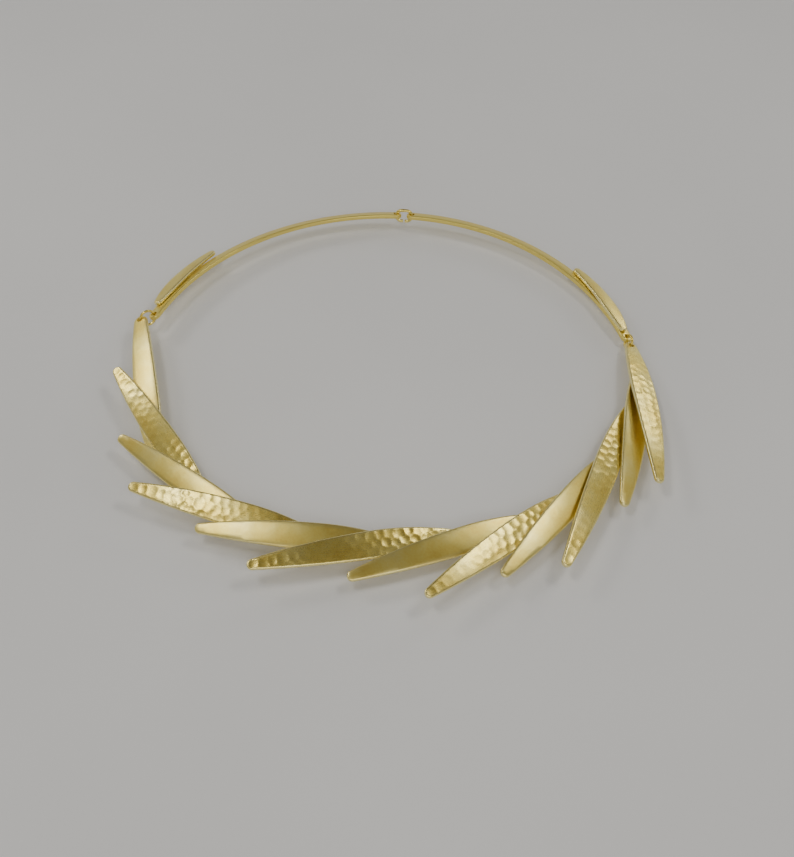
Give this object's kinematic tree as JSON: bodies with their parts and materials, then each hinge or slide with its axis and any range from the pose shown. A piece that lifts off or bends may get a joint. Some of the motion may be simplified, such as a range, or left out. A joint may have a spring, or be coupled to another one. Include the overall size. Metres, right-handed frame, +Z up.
{
  "type": "leaf plate choker",
  "caption": "Stiff choker of overlapping dented and smooth leaf plates, with curved neck bands on small rings and a hook at the nape.",
  "frame": {"origin": "centre of the neck at the height of the collar, where the choker sits round it", "axes": "+Z up along the neck, -Y towards the throat, +X towards the side of the dented leaf that carries the right ring"},
  "size_m": [0.1427, 0.1348, 0.0079],
  "materials": {
    "hammered_gold": "matte gold plate with round hammer dents",
    "satin_gold": "matte gold plate, satin brushed",
    "wire_gold": "gold-plated wire, brighter than the plates"
  },
  "bodies": {
    "root": {"hammered_leaf_1": "hammered_gold", "satin_leaf_1": "satin_gold", "hammered_leaf_2": "hammered_gold", "satin_leaf_2": "satin_gold", "hammered_leaf_3": "hammered_gold", "satin_leaf_3": "satin_gold", "hammered_leaf_4": "hammered_gold", "satin_leaf_4": "satin_gold", "hammered_leaf_5": "hammered_gold", "satin_leaf_5": "satin_gold", "hammered_leaf_6": "hammered_gold", "satin_leaf_6": "satin_gold", "right_band": "satin_gold", "left_band": "satin_gold", "right_band_leaf": "satin_gold", "left_band_leaf": "satin_gold", "right_ring": "wire_gold", "left_ring": "wire_gold", "clasp_hook": "wire_gold"}
  },
  "joints": []
}
